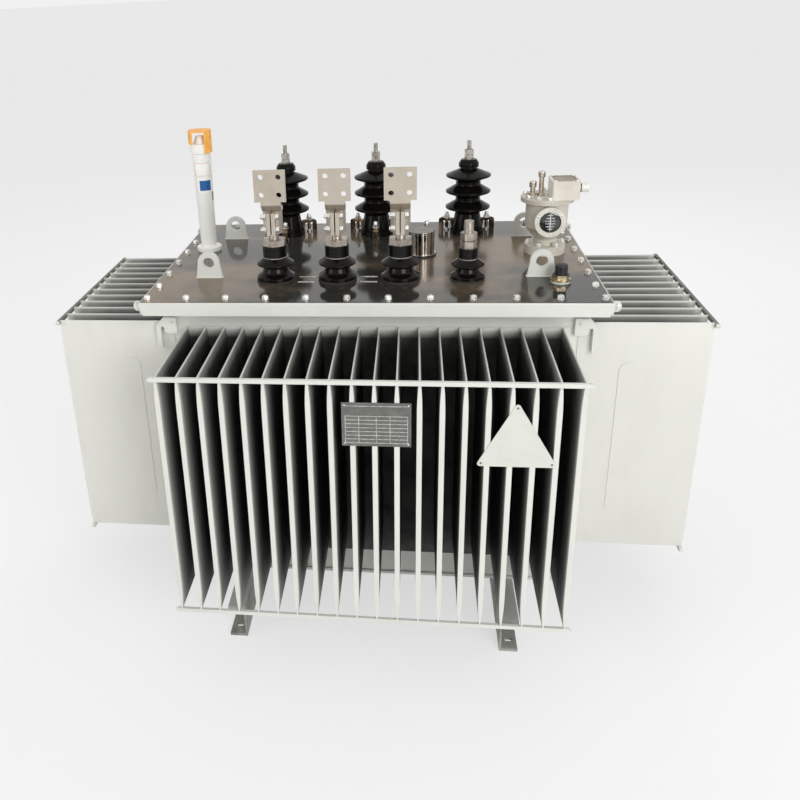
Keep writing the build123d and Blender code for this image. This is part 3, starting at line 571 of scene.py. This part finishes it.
# Bolts round the cover: small zinc-plated bolts, each with a washer and a nut run down on top of the
# plate, at a pitch of about 100 mm through the rim flange of the tank.
bolt_pitch = 0.1005
long_row = 12
short_row = 6
long_row_inset = 0.027
short_row_inset = 0.022
washer_radius = 0.009
washer_thick = 0.0018
nut_flats = 0.0145
nut_height = 0.0075
bolt_radius = 0.0046
bolt_end = 0.0016
end_chamfer = 0.001


def turn(bm, outline, steps=28):
    """Turn an outline of (radius, height) corners all the way round the Z axis, as on a lathe."""
    corners = [bm.verts.new((radius, 0, height)) for radius, height in outline]
    closing = corners[:1] if outline[0][0] + outline[-1][0] > 0 else []
    sides = [bm.edges.new(pair) for pair in zip(corners, corners[1:] + closing)]
    bmesh.ops.spin(bm, geom=corners + sides, cent=(0, 0, 0), axis=(0, 0, 1), angle=math.tau, steps=steps,
                   use_merge=True)


def hexagon(bm, flats, foot, height, corner=0.0009):
    """A hexagon nut or bolt head on the Z axis, with its upper edges chamfered."""
    radius = flats / math.sqrt(3)
    bmesh.ops.create_cone(bm, cap_ends=True, segments=6, radius1=radius, radius2=radius, depth=height,
                          matrix=Matrix.Translation((0, 0, foot + height / 2)))
    level = foot + height - corner / 10
    rim = [edge for edge in bm.edges
           if all(v.co.z > level and v.co.xy.length > radius * 0.9 for v in edge.verts)]
    bmesh.ops.bevel(bm, geom=rim, offset=corner, offset_type="OFFSET", segments=2, profile=0.5,
                    affect="EDGES", material=-1)


def bolted(washer, thick, flats, height, radius, end):
    """A washer, a nut on it and the end of the bolt that stands out of the nut."""
    made = bmesh.new()
    top = thick + height + end
    hexagon(made, flats, thick, height)
    turn(made, [(radius * 0.8, 0), (washer, 0), (washer, thick), (radius * 0.8, thick)], steps=24)
    turn(made, [(0, thick), (radius, thick), (radius, top - end_chamfer), (radius - end_chamfer, top),
                (0, top)], steps=16)
    return made


def set_out(into, single, places):
    """Copies of one small piece at many places, joined to a bigger one."""
    pattern = bpy.data.meshes.new("pattern")
    single.to_mesh(pattern)
    for spot in places:
        first = len(into.verts)
        into.from_mesh(pattern)
        into.verts.ensure_lookup_table()
        bmesh.ops.transform(into, matrix=spot, verts=into.verts[first:])
    bpy.data.meshes.remove(pattern)


zinc = make_finish(
    "bright_zinc", [coat((232, 231, 226), (206, 204, 197), patch=90, rough=(0.26, 0.38), metal=0.7)],
    grain=(900, 0.00006))
bolt_places = []
for side in (-1, 1):
    for number in range(long_row):
        x = (number - (long_row - 1) / 2) * bolt_pitch
        bolt_places.append((x, side * (cover_high.y - long_row_inset)))
    for number in range(short_row):
        y = (number - (short_row - 1) / 2) * bolt_pitch
        bolt_places.append((side * (cover_high.x - short_row_inset), y))
cover_bolts = bmesh.new()
set_out(cover_bolts, bolted(washer_radius, washer_thick, nut_flats, nut_height, bolt_radius, bolt_end),
        [Matrix.Translation((x, y, cover_top)) @ Matrix.Rotation(chance.uniform(0, math.tau), 4, "Z")
         for x, y in bolt_places])
fit(cover_bolts, "cover_bolts", zinc)

# Welds on the cover: fillets round the feet of the lugs, sprayed over with the paint, and pairs of
# short bright welds between the low-voltage bushings, which close slots cut against stray currents.
lug_low, lug_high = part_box("lifting_lugs")
lug_half_foot = 0.035
lug_thick = 0.012
slot_weld_x = ((-0.187, -0.142), (-0.025, 0.018))
slot_weld_y = (-0.174, -0.214)
bright_weld = make_finish(
    "bright_weld", [coat((226, 224, 216), (170, 164, 152), patch=140, rough=(0.25, 0.4), metal=0.9)])
lug_welds = bmesh.new()
for x in (lug_low.x + lug_half_foot, lug_high.x - lug_half_foot):
    for y in (lug_low.y + lug_thick / 2, lug_high.y - lug_thick / 2):
        for side in (-1, 1):
            face_y = y + side * lug_thick / 2
            weld(lug_welds, (x - lug_half_foot, face_y, cover_top), (x + lug_half_foot, face_y, cover_top))
            end_x = x + side * lug_half_foot
            weld(lug_welds, (end_x, y - lug_thick / 2, cover_top), (end_x, y + lug_thick / 2, cover_top))
fit(lug_welds, "lug_welds", tank_paint)
slot_welds = bmesh.new()
for start, end in slot_weld_x:
    for y in slot_weld_y:
        weld(slot_welds, (start, y, cover_top), (end, y, cover_top), width=0.0045, pitch=0.0016)
fit(slot_welds, "slot_welds", bright_weld)

# Bolts in the corner ears: a small zinc bolt through each drilled ear of the cover, with its washer
# and nut on the outside.
ear_low, ear_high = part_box("corner_ears")
ear_inset = 0.01
ear_bolts = bmesh.new()
ear_bolt = bolted(washer=0.008, thick=0.0015, flats=0.013, height=0.0055, radius=0.0038, end=0.004)
for x in (ear_low.x + ear_inset, ear_high.x - ear_inset):
    for y, way in ((ear_low.y, 1), (ear_high.y, -1)):
        spot = Matrix.Translation((x, y, (ear_low.z + ear_high.z) / 2))
        set_out(ear_bolts, ear_bolt, [spot @ Matrix.Rotation(way * math.pi / 2, 4, "X")])
fit(ear_bolts, "ear_bolts", zinc)

# High-voltage bushings: fired porcelain under a thick brown-black glaze, with a bright threaded stud
# and two nuts on each.
glaze_dark = make_finish(
    "black_glaze", [coat((15, 14, 12), (24, 20, 17), patch=16, spread_from=0.5, spread_to=0.75,
                         rough=(0.1, 0.18))], grain=(110, 0.00012), Specular_IOR_Level=0.12)
hv_names = ("hv_bushing_1", "hv_bushing_2", "hv_bushing_3")
dress(glaze_dark, *hv_names)
stud_steel = make_finish(
    "stud_steel", [coat((190, 187, 178), (140, 134, 122), patch=70, rough=(0.26, 0.42), metal=1.0)],
    grain=(800, 0.00008))
dress(stud_steel, "hv_terminals")
hv_stud_radius = 0.006
hv_stud_pitch = 0.0018
thread_ridge = 0.0003
hv_nuts = 2
hv_nut_step = 0.015
stud_chamfer = 0.001


def thread(bm, radius, bottom, top, pitch):
    """The ridges of a thread, a little proud of the stud that they are cut on."""
    outline = [(radius - 4 * thread_ridge, bottom), (radius, bottom)]
    for ridge in range(int((top - bottom) / pitch)):
        outline += [(radius + thread_ridge, bottom + (ridge + 0.5) * pitch),
                    (radius - thread_ridge, bottom + (ridge + 1) * pitch)]
    outline.append((radius - 4 * thread_ridge, outline[-1][1]))
    turn(bm, outline, steps=24)


hv_threads = bmesh.new()
hv_thread = bmesh.new()
terminal_low, terminal_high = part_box("hv_terminals")
thread(hv_thread, hv_stud_radius, terminal_low.z + hv_nuts * hv_nut_step,
       terminal_high.z - stud_chamfer, hv_stud_pitch)
for name in hv_names:
    low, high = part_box(name)
    set_out(hv_threads, hv_thread, [Matrix.Translation(((low.x + high.x) / 2, (low.y + high.y) / 2, 0))])
fit(hv_threads, "hv_threads", stud_steel)

# Claws on the high-voltage bushings: three arched straps of brass round each foot, written dark as
# painted shade, each held down by a bright stud with a nut, a washer and a domed cap nut.
claw_brass_shaded = (128, 110, 88)
claw_brass_shaded_dull = (56, 49, 41)
claw_height = 0.0361
claw_top = cover_top + claw_height
claw_washer = 0.0098
claw_washer_top = 0.0375
claw_foot_nut = 0.0085
claw_foot_nut_height = 0.006
claw_bore = 0.004
claw_nut_top = 0.044
claw_stud_from_axis = 0.068
claw_dome = 0.0062
claw_finish = make_finish(
    "claw_brass_shaded", [coat(claw_brass_shaded, claw_brass_shaded_dull, patch=42, spread_from=0.46, spread_to=0.54,
                        rough=(0.24, 0.42), metal=1.0),
                   coat((215, 213, 207), (170, 167, 160), patch=90, rough=(0.22, 0.36), metal=1.0,
                        low=(-far, -far, claw_top))])
dress(claw_finish, "hv_claws")
cap_nuts = bmesh.new()
cap_nut = bmesh.new()
turn(cap_nut, [(0, claw_nut_top), (claw_dome, claw_nut_top), (claw_dome, claw_nut_top + 0.005),
               (claw_dome * 0.88, claw_nut_top + 0.0082), (claw_dome * 0.5, claw_nut_top + 0.0105),
               (0, claw_nut_top + 0.0112)], steps=20)
turn(cap_nut, [(claw_bore, claw_height), (claw_washer, claw_height), (claw_washer, claw_washer_top),
               (claw_bore, claw_washer_top)], steps=24)
turn(cap_nut, [(claw_bore, 0), (claw_foot_nut, 0), (claw_foot_nut, claw_foot_nut_height),
               (claw_bore, claw_foot_nut_height)], steps=20)
for name in hv_names:
    low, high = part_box(name)
    for angle in (-90, 30, 150):
        out = Matrix.Rotation(math.radians(angle), 4, "Z") @ Matrix.Translation((claw_stud_from_axis, 0, 0))
        set_out(cap_nuts, cap_nut,
                [Matrix.Translation(((low.x + high.x) / 2, (low.y + high.y) / 2, cover_top)) @ out])
fit(cap_nuts, "claw_cap_nuts", zinc)

# Low-voltage bushings: brown-black glazed porcelain on dark rubber seals, with black moulded collars
# over grey washers, large tin-plated nuts and a threaded stud. The neutral one is smaller.
seal_grey = (58, 56, 52)
seal_grey_dull = (48, 46, 43)
washer_grey = (150, 148, 142)
washer_grey_dull = (120, 118, 112)
glaze_brown = (15, 12, 10)
glaze_brown_thin = (26, 20, 16)
seal_thick = 0.005
seat_margin = 0.0001
neutral_scale = 0.866
lv_names = ("lv_bushing_1", "lv_bushing_2", "lv_bushing_3", "neutral_bushing")
for name, share in zip(lv_names, (1, 1, 1, neutral_scale)):
    glaze_brown_finish = make_finish(
        "brown_glaze_" + name, [coat(glaze_brown, glaze_brown_thin, patch=40, spread_from=0.52, spread_to=0.8,
                                     rough=(0.09, 0.2)),
                                coat(seal_grey, seal_grey_dull, patch=80, rough=(0.5, 0.6),
                                     high=(far, far, cover_top + share * seal_thick + seat_margin))],
        grain=(120, 0.00012), Specular_IOR_Level=0.14)
    dress(glaze_brown_finish, name)
neutral_x = sum(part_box("neutral_bushing")[side].x for side in (0, 1)) / 2
neutral_reach = 0.06
between = neutral_x - neutral_reach
lv_washer_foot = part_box("lv_bushing_1")[1].z - seat_margin
neutral_washer_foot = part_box("neutral_bushing")[1].z - seat_margin
lv_washer_thick = 0.0032
collar_finish = make_finish(
    "black_moulding", [coat((9, 9, 8), (14, 13, 12), patch=60, rough=(0.16, 0.24)),
                       coat(washer_grey, washer_grey_dull, patch=90, rough=(0.4, 0.5),
                            low=(-far, -far, lv_washer_foot),
                            high=(between, far, lv_washer_foot + lv_washer_thick)),
                       coat(washer_grey, washer_grey_dull, patch=90, rough=(0.4, 0.5),
                            low=(between, -far, neutral_washer_foot),
                            high=(far, far, neutral_washer_foot + lv_washer_thick))], Specular_IOR_Level=0.22)
dress(collar_finish, "lv_collars")
nut_tin = make_finish(
    "nut_tin", [coat((186, 178, 168), (150, 141, 130), patch=80, rough=(0.3, 0.48), metal=0.9)],
    grain=(700, 0.0001))
dress(nut_tin, "lv_studs")
lv_low, lv_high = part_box("lv_bushing_1")
lv_y = (lv_low.y + lv_high.y) / 2
lv_stud_radius = 0.0125
lv_thread_pitch = 0.003
neutral_stud_radius = 0.012
neutral_thread_length = 0.0293
clamp_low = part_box("lv_terminal_1")[0]
studs_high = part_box("lv_studs")[1]
lv_nuts_height = 0.048
lv_nut_top = lv_washer_foot + lv_nuts_height
threads = bmesh.new()
lv_thread = bmesh.new()
thread(lv_thread, lv_stud_radius, lv_nut_top, clamp_low.z, lv_thread_pitch)
lv_x = [sum(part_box(name)[side].x for side in (0, 1)) / 2 for name in lv_names[:3]]
set_out(threads, lv_thread, [Matrix.Translation((x, lv_y, 0)) for x in lv_x])
neutral_thread = bmesh.new()
thread(neutral_thread, neutral_stud_radius, studs_high.z - neutral_thread_length,
       studs_high.z - stud_chamfer, lv_thread_pitch)
set_out(threads, neutral_thread, [Matrix.Translation((neutral_x, lv_y, 0))])
fit(threads, "lv_threads", nut_tin)

# Clamps and flags on the low-voltage studs: tin-plated copper castings with split jaws, each drawn
# together by two zinc bolts, and a flat flag with four holes above.
tin_finish = make_finish(
    "terminal_tin", [coat((190, 181, 168), (180, 170, 156), patch=20, rough=(0.36, 0.5), metal=0.6)],
    grain=(350, 0.00015))
dress(tin_finish, "lv_terminal_1", "lv_terminal_2", "lv_terminal_3")
clamp_bolt_levels = (0.1425, 0.176)
clamp_bolt_forward = 0.032
jaw_half = 0.012
clamp_washer = 0.0095
clamp_washer_bore = 0.003
clamp_washer_thick = 0.002
clamp_flats = 0.0155
clamp_bolts = bmesh.new()
clamp_nut = bolted(clamp_washer, clamp_washer_thick, clamp_flats, height=0.0085, radius=0.005, end=0.005)
clamp_head = bmesh.new()
turn(clamp_head, [(clamp_washer_bore, 0), (clamp_washer, 0), (clamp_washer, clamp_washer_thick),
                  (clamp_washer_bore, clamp_washer_thick)], steps=24)
hexagon(clamp_head, clamp_flats, foot=clamp_washer_thick, height=0.0064)
for x in lv_x:
    for level in clamp_bolt_levels:
        left_face = Matrix.Translation((x - jaw_half, lv_y - clamp_bolt_forward, cover_top + level))
        right_face = Matrix.Translation((x + jaw_half, lv_y - clamp_bolt_forward, cover_top + level))
        set_out(clamp_bolts, clamp_nut, [left_face @ Matrix.Rotation(-math.pi / 2, 4, "Y")])
        set_out(clamp_bolts, clamp_head, [right_face @ Matrix.Rotation(math.pi / 2, 4, "Y")])
fit(clamp_bolts, "clamp_bolts", zinc)

# Oil level tube: a steel tube on a foot ring, painted near white, with what is left of its moulded
# yellow cap. Its two bare labels and a small grey patch are thin film wrapped on its front and right.
tube_low, tube_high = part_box("oil_level_tube")
tube_x, tube_y = ((tube_low[side] + tube_high[side]) / 2 for side in (0, 1))
tube_paint = make_finish(
    "tube_paint", [coat((240, 239, 234), (226, 225, 220), patch=12, run=(1, 1, 0.3), rough=(0.22, 0.34))],
    grain=(500, 0.0001), Coat_Weight=0.2, Coat_Roughness=0.1)
dress(tube_paint, "oil_level_tube")
cap_yellow = make_finish(
    "cap_yellow", [coat((250, 184, 92), (238, 166, 66), patch=50, rough=(0.4, 0.55))], grain=(400, 0.0003))
dress(cap_yellow, "oil_level_cap")
film_thick = 0.0002
tube_low_radius = 0.023
tube_high_radius = 0.027
tube_foot_height = 0.012
tube_height = 0.285
tube_slope = (tube_high_radius - tube_low_radius) / (tube_height - tube_foot_height)


def tube_radius(height):
    """The tube's radius at a height over the cover: it widens slightly upwards."""
    return tube_low_radius + (height - tube_foot_height) * tube_slope


def wrap(bm, bottom, top, start, end, lift):
    """A label wrapped on the tube between two heights and two angles, nought facing the front."""
    inner, outer = lift * film_thick, (lift + 1) * film_thick
    corners = [bm.verts.new((0, -(tube_radius(level) + reach), level))
               for level, reach in ((bottom, inner), (bottom, outer), (top, outer), (top, inner))]
    strip = bm.faces.new(corners)
    first = Matrix.Rotation(math.radians(start), 3, "Z")
    bmesh.ops.transform(bm, matrix=first.to_4x4(), verts=corners)
    bmesh.ops.spin(bm, geom=[strip], cent=(0, 0, 0), axis=(0, 0, 1), angle=math.radians(end - start),
                   steps=16)
    return bm


def label(name, colour, worn, bands):
    """One colour of a label, made of wrapped strips of (bottom, top, start, end, lift)."""
    made = bmesh.new()
    for band in bands:
        single = wrap(bmesh.new(), *band)
        set_out(made, single, [Matrix.Translation((tube_x, tube_y, cover_top))])
    film = make_finish(name + "_film", [coat(colour, worn, patch=70, rough=(0.25, 0.35))])
    fit(made, name, film)


label("label_white", (246, 246, 242), (236, 236, 230), [
    (0.2215, 0.2625, -40, 64, 0), (0.176, 0.2155, -26, 74, 0)])
label("label_outline", (206, 92, 92), (190, 76, 78), [
    (0.2235, 0.2243, -38, 62, 1), (0.2595, 0.2603, -38, 62, 1),
    (0.2235, 0.2603, -38, -36.5, 1), (0.2235, 0.2603, 60.5, 62, 1)])
label("label_blue", (28, 92, 158), (24, 80, 140), [(0.181, 0.2105, -14, 60, 1)])
label("label_mark", (110, 110, 106), (140, 140, 136), [(0.150, 0.175, 68, 88, 0)])

# Relief can: polished chrome steel with a thin brown-grey lid, on a dark ring welded to the cover.
can_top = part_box("relief_can")[1].z
chrome = make_finish(
    "polished_chrome", [coat((178, 173, 166), (128, 122, 114), patch=30, run=(1, 1, 0.1), rough=(0.06, 0.12),
                             metal=1.0),
                        coat((118, 110, 100), (98, 91, 82), patch=40, rough=(0.25, 0.35), metal=0.6,
                             low=(-far, -far, can_top - 0.0004)),
                        coat((70, 67, 62), (50, 48, 44), patch=60, rough=(0.3, 0.4), metal=0.6,
                             high=(far, far, cover_top + 0.005))], grain=(300, 0.00003))
dress(chrome, "relief_can")

# Gas relay: a cast body painted warm light grey, bolted by its foot flange to the cover, with a
# terminal box and two nickelled cocks on its lid. Its bolts and screws are bright zinc, and its cable
# gland is white nylon with a dark seal.
relay_light = (204, 199, 187)
relay_dull = (188, 182, 168)
relay_paint = make_finish(
    "relay_paint", [coat(relay_light, relay_dull, patch=18, rough=(0.4, 0.56))], grain=(260, 0.0005))
dress(relay_paint, "relay_foot", "relay_body")
box_low, box_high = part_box("relay_box")
box_rim = 0.0055
box_field = 0.0025
box_lid = make_finish(
    "relay_box_paint", [coat((224, 219, 206), (208, 202, 188), patch=16, rough=(0.4, 0.52)),
                        coat((150, 140, 126), (134, 123, 108), patch=30, rough=(0.4, 0.5),
                             low=(box_low.x + box_rim, box_low.y + box_rim, box_high.z - box_field),
                             high=(box_high.x - box_rim, box_high.y - box_rim, far))],
    grain=(260, 0.0004))
dress(box_lid, "relay_box")
gland_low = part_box("relay_gland")[0]
gland_seal = (0.005, 0.0085)
gland_finish = make_finish(
    "gland_nylon", [coat((238, 238, 233), (222, 222, 215), patch=60, rough=(0.35, 0.5)),
                    coat((70, 68, 64), (54, 52, 48), patch=60, rough=(0.5, 0.6),
                         low=(gland_low.x + gland_seal[0], -far, -far),
                         high=(gland_low.x + gland_seal[1], far, far))])
dress(gland_finish, "relay_gland")
cock_finish = make_finish(
    "cock_nickel", [coat((214, 205, 192), (170, 160, 146), patch=90, rough=(0.18, 0.34), metal=1.0)])
dress(cock_finish, "relay_cocks")
foot_low, foot_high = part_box("relay_foot")
relay_x, relay_y = ((foot_low[side] + foot_high[side]) / 2 for side in (0, 1))
body_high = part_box("relay_body")[1]
sight_low, sight_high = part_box("relay_sight")
sight_x, sight_z = (sight_low.x + sight_high.x) / 2, (sight_low.z + sight_high.z) / 2
sight_finish = make_finish(
    "sight_bezel", [coat((222, 219, 208), (204, 200, 188), patch=30, rough=(0.35, 0.48))])
dress(sight_finish, "relay_sight")
flange_height = 0.024
flange_top = cover_top + flange_height
flange_bolt_circle = 0.0445
lid_bolt_circle = 0.06
lid_bolt_angles = (-152, -118, -92, -66, 92, 125, 160)
lid_washer = 0.0072
lid_washer_bore = 0.002
lid_washer_thick = 0.0014
relay_bolts = bmesh.new()
flange_bolt = bolted(washer=0.0085, thick=0.0016, flats=0.014, height=0.007, radius=0.0044, end=0.003)
flange_bolts = 6
for number in range(flange_bolts):
    angle = Matrix.Rotation(math.radians(360 / flange_bolts * number), 4, "Z")
    set_out(relay_bolts, flange_bolt,
            [Matrix.Translation((relay_x, relay_y, flange_top)) @ angle
             @ Matrix.Translation((flange_bolt_circle, 0, 0))])
lid_bolt = bmesh.new()
turn(lid_bolt, [(lid_washer_bore, 0), (lid_washer, 0), (lid_washer, lid_washer_thick),
                (lid_washer_bore, lid_washer_thick)], steps=20)
hexagon(lid_bolt, flats=0.0115, foot=lid_washer_thick, height=0.0062)
for angle in lid_bolt_angles:
    around = Matrix.Rotation(math.radians(angle), 4, "Z")
    set_out(relay_bolts, lid_bolt,
            [Matrix.Translation((relay_x, relay_y, body_high.z)) @ around
             @ Matrix.Translation((lid_bolt_circle, 0, 0))])
fit(relay_bolts, "relay_bolts", zinc)

# Sight glass of the relay: dark glass in a bezel held by three small screws. Its scale is plain white
# strokes, laid on the glass so that they show. The terminal box has a screw at each corner of its lid.
glass_radius = 0.0278
glass_back = sight_low.y + 0.004
glass_finish = make_finish(
    "sight_glass", [coat((24, 24, 26), (36, 36, 38), patch=50, rough=(0.03, 0.06))], grain=(50, 0.00002),
    Coat_Weight=1.0, Coat_Roughness=0.02)
glass = bmesh.new()
turn(glass, [(0, 0), (glass_radius, 0), (glass_radius, 0.0008), (glass_radius - 0.001, 0.0012),
             (glass_radius * 0.6, 0.002), (0, 0.0024)], steps=40)
bmesh.ops.transform(glass, matrix=Matrix.Translation((sight_x, glass_back, sight_z)) @ front_turn,
                    verts=glass.verts)
fit(glass, "sight_glass", glass_finish)
scale_finish = make_finish(
    "sight_scale", [coat((224, 226, 224), (150, 152, 152), patch=160, rough=(0.3, 0.45))])
marks = bmesh.new()
scale_y = glass_back - 0.0031
stroke_face = scale_y + 0.0004
stroke_back = glass_back - 0.0005
stroke_half = 0.0011
stroke_step = 0.0075
spine_half = 0.0012
spine_reach = 0.0235
bar(marks, (sight_x - spine_half, scale_y, sight_z - spine_reach),
    (sight_x + spine_half, stroke_back, sight_z + spine_reach))
for number, half in enumerate((0.006, 0.011, 0.013, 0.013, 0.011, 0.007)):
    level = sight_z + (number - 2.5) * stroke_step
    bar(marks, (sight_x - half, stroke_face, level - stroke_half),
        (sight_x + half, stroke_back, level + stroke_half))
fit(marks, "sight_scale", scale_finish)
bezel_screw_circle = 0.034
box_screw_inset = 0.008
relay_screws = bmesh.new()
for angle in (-88, 32, 152):
    way = Vector((math.cos(math.radians(angle)), 0, math.sin(math.radians(angle)))) * bezel_screw_circle
    dome(relay_screws, Vector((sight_x, sight_low.y, sight_z)) + way, radius=0.0026, height=0.0015,
         turn=front_turn)
for x in (box_low.x + box_screw_inset, box_high.x - box_screw_inset):
    for y in (box_low.y + box_screw_inset, box_high.y - box_screw_inset):
        dome(relay_screws, (x, y, box_high.z), radius=0.0045, height=0.003)
fit(relay_screws, "relay_screws", zinc)

# Thermometer pocket: a painted boss welded to the cover, a brass hexagon on its flange, and a black
# moulded cap.
boss_top = cover_top + 0.0051
brass_top = cover_top + 0.0199
pocket_finish = make_finish(
    "pocket_brass", [coat((190, 178, 152), (146, 130, 102), patch=60, rough=(0.24, 0.4), metal=1.0),
                     coat((218, 216, 207), (190, 187, 176), patch=40, rough=(0.4, 0.5),
                          high=(far, far, boss_top)),
                     coat((22, 22, 24), (34, 34, 36), patch=50, rough=(0.4, 0.55),
                          low=(-far, -far, brass_top))])
dress(pocket_finish, "thermometer_pocket")
